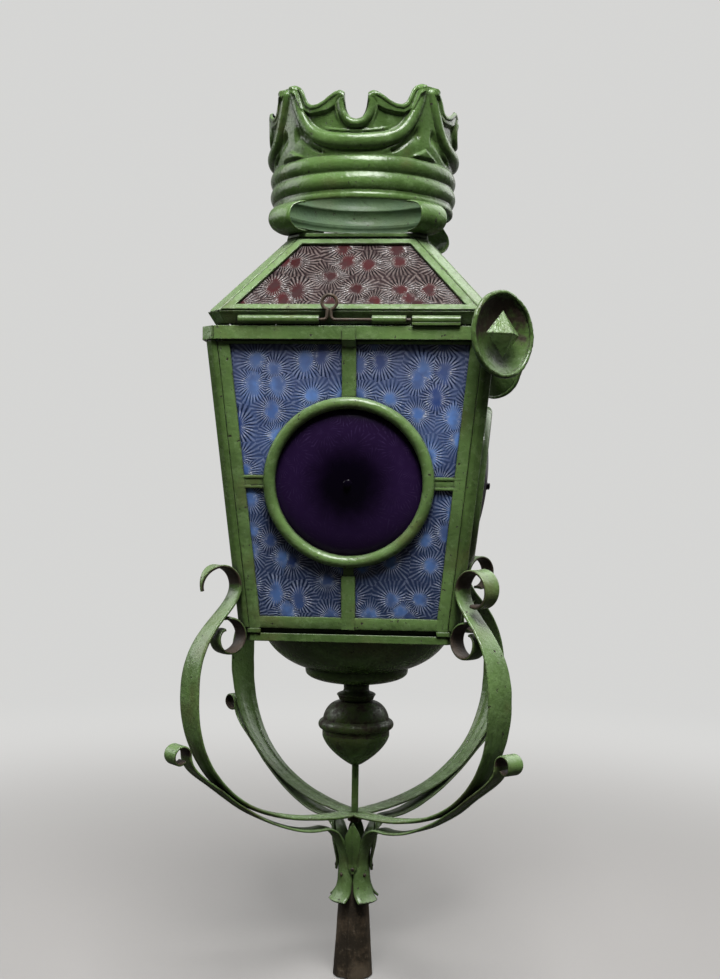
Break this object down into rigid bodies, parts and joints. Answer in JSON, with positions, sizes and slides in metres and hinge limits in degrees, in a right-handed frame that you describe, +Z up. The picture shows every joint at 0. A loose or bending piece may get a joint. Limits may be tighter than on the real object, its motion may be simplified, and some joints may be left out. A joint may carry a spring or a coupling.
{
  "type": "processional lantern",
  "caption": "Square glazed lantern head that widens upwards, with bull's-eye lenses, a lifting hipped roof with a crown smoke outlet, scrolled arms and a tapered pole socket.",
  "frame": {"origin": "centre of the pole socket's mouth", "axes": "+Z up along the pole towards the crown, -Y the front face with the bolt, +X right"},
  "size_m": [0.2737, 0.279, 0.7261],
  "materials": {
    "green_enamel": "glossy, worn",
    "green_enamel_light": "glossy, worn",
    "green_enamel_crown": "glossy",
    "rusty_iron": "rusty",
    "brown_wire": "rusty",
    "blue_glass": "pressed",
    "roof_glass": "pressed",
    "purple_lens_glass": "polished"
  },
  "bodies": {
    "lantern": {"pole_socket": "rusty_iron", "socket_leaves": "green_enamel", "socket_rivets": "rusty_iron", "arm_strap_fl": "green_enamel_light", "arm_strap_fr": "green_enamel_light", "arm_strap_rl": "green_enamel_light", "arm_strap_rr": "green_enamel_light", "lower_strap_fl": "green_enamel_light", "lower_strap_fr": "green_enamel_light", "lower_strap_rl": "green_enamel_light", "lower_strap_rr": "green_enamel_light", "corner_scrolls": "green_enamel", "center_rod": "green_enamel", "rod_nut": "rusty_iron", "finial_lower": "green_enamel", "finial_upper": "green_enamel", "finial_collar": "green_enamel", "bowl_step": "green_enamel", "bowl": "green_enamel", "base_tray": "green_enamel", "floor_plate": "green_enamel", "corner_post_fl": "green_enamel", "corner_post_fr": "green_enamel", "corner_post_rl": "green_enamel", "corner_post_rr": "green_enamel", "top_rails": "green_enamel_light", "glazing_bars_front": "green_enamel_light", "glazing_bars_right": "green_enamel_light", "glazing_bars_back": "green_enamel_light", "glazing_bars_left": "green_enamel_light", "lens_ring_front": "green_enamel_light", "lens_ring_right": "green_enamel_light", "lens_ring_back": "green_enamel_light", "lens_ring_left": "green_enamel_light", "lens_front": "purple_lens_glass", "lens_right": "purple_lens_glass", "lens_back": "purple_lens_glass", "lens_left": "purple_lens_glass", "panes_front": "blue_glass", "panes_right": "blue_glass", "panes_back": "blue_glass", "panes_left": "blue_glass", "bolt_keeper": "green_enamel", "hinge_leaf_body": "rusty_iron", "hinge_pin": "rusty_iron", "candle_cup": "rusty_iron", "drip_pan": "rusty_iron", "rosette_dishes": "green_enamel", "rosette_studs": "green_enamel_light"},
    "roof": {"roof_rim": "green_enamel", "roof_hips": "green_enamel_light", "roof_frames": "green_enamel_light", "roof_panes": "roof_glass", "roof_top_ring": "green_enamel_light", "crown_legs": "green_enamel_crown", "crown": "green_enamel_crown", "bolt_guides": "green_enamel", "hinge_leaf_roof": "rusty_iron"},
    "bolt": {"latch_bolt": "brown_wire"}
  },
  "joints": [
    {"name": "roof_hinge", "type": "hinge", "parent": "lantern", "child": "roof", "pos_m": [-0.117, 0, 0.5288], "axis": [0, -1, 0], "range_deg": [0, 110]},
    {"name": "bolt_slide", "type": "slide", "parent": "roof", "child": "bolt", "axis": [1, 0, 0], "range_m": [0, 0.024]}
  ]
}
